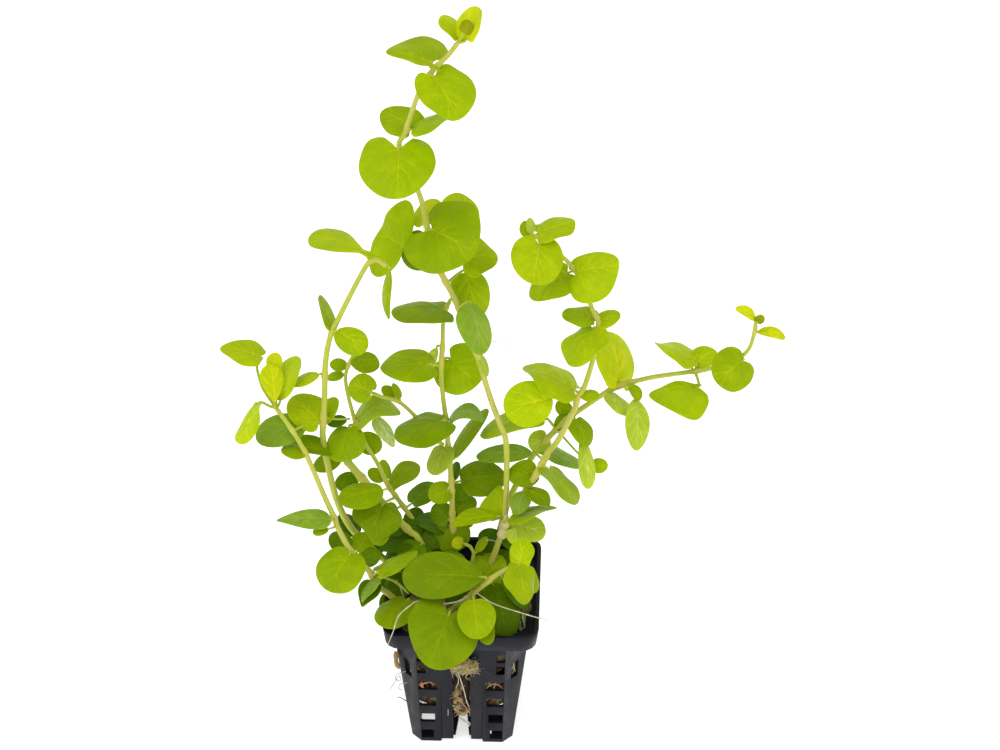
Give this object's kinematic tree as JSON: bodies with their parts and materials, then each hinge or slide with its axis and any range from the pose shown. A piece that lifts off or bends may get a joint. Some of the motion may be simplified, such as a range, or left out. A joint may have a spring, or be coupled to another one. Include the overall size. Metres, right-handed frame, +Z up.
{
  "type": "creeping jenny",
  "caption": "Bunch of upright and trailing shoots with round yellow-green leaves, rooted in a rock wool plug in a square black plastic net pot.",
  "frame": {"origin": "middle of the net pot's floor, on its underside, which stands on the ground", "axes": "+Z up, towards the tip of the tallest shoot; -Y towards the eye of the picture; +X to its right, towards the tip of the long side shoot"},
  "size_m": [0.1774, 0.0819, 0.2488],
  "materials": {
    "pot": "satin",
    "wool": "fibrous, matt",
    "stem": "satin",
    "leaf": "satin"
  },
  "bodies": {
    "root": {"branch_stem": "stem", "curled_shoot": "stem", "far_right_leaf_01": "leaf", "far_right_leaf_02": "leaf", "far_right_leaf_03": "leaf", "far_right_leaf_04": "leaf", "far_right_leaf_05": "leaf", "far_right_leaf_06": "leaf", "far_right_stem": "stem", "front_leaf_01": "leaf", "front_leaf_02": "leaf", "front_leaf_03": "leaf", "front_leaf_04": "leaf", "front_leaf_05": "leaf", "front_stem": "stem", "leaning_stem": "stem", "left_leaf_01": "leaf", "left_leaf_02": "leaf", "left_leaf_03": "leaf", "left_stem": "stem", "low_left_leaf_01": "leaf", "low_left_leaf_02": "leaf", "low_left_leaf_03": "leaf", "low_left_leaf_04": "leaf", "low_left_leaf_05": "leaf", "low_left_leaf_06": "leaf", "low_left_stem": "stem", "middle_leaf_01": "leaf", "middle_leaf_02": "leaf", "middle_leaf_03": "leaf", "middle_leaf_04": "leaf", "middle_leaf_05": "leaf", "middle_leaf_06": "leaf", "middle_stem": "stem", "net_pot": "pot", "right_leaf_01": "leaf", "right_leaf_02": "leaf", "right_leaf_03": "leaf", "right_leaf_04": "leaf", "right_leaf_05": "leaf", "right_leaf_06": "leaf", "right_leaf_07": "leaf", "right_leaf_08": "leaf", "right_stem": "stem", "rockwool_plug": "wool", "slender_leaf_01": "leaf", "slender_leaf_02": "leaf", "slender_leaf_03": "leaf", "slender_stem": "stem", "tall_leaf_01": "leaf", "tall_leaf_02": "leaf", "tall_leaf_03": "leaf", "tall_leaf_04": "leaf", "tall_leaf_05": "leaf", "tall_leaf_06": "leaf", "tall_leaf_07": "leaf", "tall_leaf_08": "leaf", "tall_leaf_09": "leaf", "tall_stem": "stem"}
  },
  "joints": []
}
